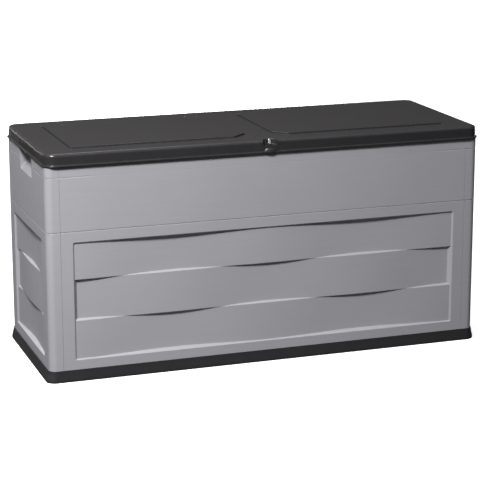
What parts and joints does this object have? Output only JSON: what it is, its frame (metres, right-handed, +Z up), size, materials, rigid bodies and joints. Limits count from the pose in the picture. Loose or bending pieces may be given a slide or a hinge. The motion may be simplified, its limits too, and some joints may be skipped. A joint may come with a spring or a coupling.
{
  "type": "deck storage box",
  "caption": "Long moulded storage box with woven-look wall panels, side hand grips, a dark plinth and a dark hinged lid with a padlock staple.",
  "frame": {"origin": "on the ground, at the middle of the plinth's footprint", "axes": "+X to the right when facing the front, -Y towards the front, +Z up"},
  "size_m": [1.17, 0.4633, 0.5827],
  "materials": {
    "wall_panel": "fine moulded grain, satin",
    "hand_grip": "fine moulded grain, satin",
    "joining_strip": "satin",
    "plinth": "fine moulded grain, satin",
    "lid": "fine moulded grain, satin",
    "lid_inner": "satin",
    "lock_insert": "smooth, glossy",
    "hinge": "satin",
    "zinc_steel": "zinc plated",
    "staple_steel": "bright zinc plated"
  },
  "bodies": {
    "box": {"base_tray": "plinth", "front_panel": "wall_panel", "back_panel": "wall_panel", "left_side_panel": "wall_panel", "right_side_panel": "wall_panel", "front_left_joining_strip": "joining_strip", "front_right_joining_strip": "joining_strip", "back_left_joining_strip": "joining_strip", "back_right_joining_strip": "joining_strip", "joining_screws": "zinc_steel", "left_hand_grip": "hand_grip", "right_hand_grip": "hand_grip", "lock_staple": "staple_steel", "staple_screws": "zinc_steel", "hinge_bracket_left": "hinge", "hinge_bracket_middle": "hinge", "hinge_bracket_right": "hinge", "bracket_screws": "zinc_steel", "hinge_pin_left": "zinc_steel", "hinge_pin_middle": "zinc_steel", "hinge_pin_right": "zinc_steel"},
    "lid": {"lid_shell": "lid", "lid_inner_panel": "lid_inner", "lock_insert": "lock_insert", "hinge_leaf_left": "hinge", "hinge_leaf_middle": "hinge", "hinge_leaf_right": "hinge", "leaf_screws": "zinc_steel"}
  },
  "joints": [
    {"name": "lid_hinge", "type": "hinge", "parent": "box", "child": "lid", "pos_m": [0, 0.224, 0.539], "axis": [-1, 0, 0], "range_deg": [0, 100]}
  ]
}
